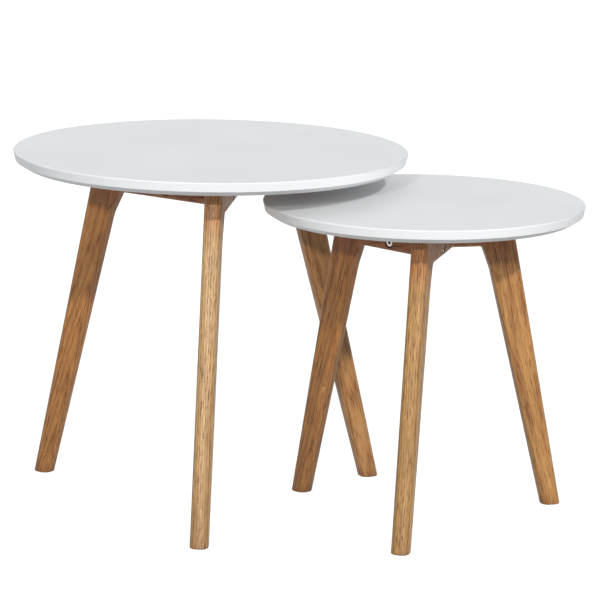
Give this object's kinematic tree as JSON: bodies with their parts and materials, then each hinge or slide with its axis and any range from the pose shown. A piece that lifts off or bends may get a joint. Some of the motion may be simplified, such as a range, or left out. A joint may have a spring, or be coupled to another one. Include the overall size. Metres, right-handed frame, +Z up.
{
  "type": "nesting tables",
  "caption": "Round side tables of two heights with white lacquered tops and splayed solid oak legs; the lower one slides under the taller one.",
  "frame": {"origin": "middle of the set's footprint box, on the floor", "axes": "+X to the right along the set's long side, towards the small table; +Y to the back; +Z up"},
  "size_m": [0.7145, 0.5224, 0.45],
  "materials": {
    "large_top_lacquer": "satin white lacquer on fibreboard",
    "large_leg_left_oak": "oiled solid oak",
    "large_rail_left_oak": "oiled solid oak",
    "large_leg_front_oak": "oiled solid oak",
    "large_rail_front_oak": "oiled solid oak",
    "large_leg_right_oak": "oiled solid oak",
    "large_rail_right_oak": "oiled solid oak",
    "small_top_lacquer": "satin white lacquer on fibreboard",
    "small_leg_left_oak": "oiled solid oak",
    "small_rail_left_oak": "oiled solid oak",
    "small_leg_front_oak": "oiled solid oak",
    "small_rail_front_oak": "oiled solid oak",
    "small_leg_right_oak": "oiled solid oak",
    "small_rail_right_oak": "oiled solid oak",
    "beech": "plain beech",
    "bolt_steel": "zinc plated",
    "insert_brass": "plain"
  },
  "bodies": {
    "large_table": {"large_top": "large_top_lacquer", "large_leg_left": "large_leg_left_oak", "large_rail_left": "large_rail_left_oak", "large_leg_front": "large_leg_front_oak", "large_rail_front": "large_rail_front_oak", "large_leg_right": "large_leg_right_oak", "large_rail_right": "large_rail_right_oak", "large_leg_dowels": "beech", "large_joint_bolts": "bolt_steel", "large_joint_inserts": "insert_brass", "large_top_bolts": "bolt_steel", "large_top_washers": "bolt_steel", "large_top_inserts": "insert_brass"},
    "small_table": {"small_top": "small_top_lacquer", "small_leg_left": "small_leg_left_oak", "small_rail_left": "small_rail_left_oak", "small_leg_front": "small_leg_front_oak", "small_rail_front": "small_rail_front_oak", "small_leg_right": "small_leg_right_oak", "small_rail_right": "small_rail_right_oak", "small_leg_dowels": "beech", "small_joint_bolts": "bolt_steel", "small_joint_inserts": "insert_brass", "small_top_bolts": "bolt_steel", "small_top_washers": "bolt_steel", "small_top_inserts": "insert_brass"}
  },
  "joints": [
    {"name": "pull_out", "type": "slide", "parent": "large_table", "child": "small_table", "axis": [0.9642, -0.2652, 0], "range_m": [0, 0.3]}
  ]
}
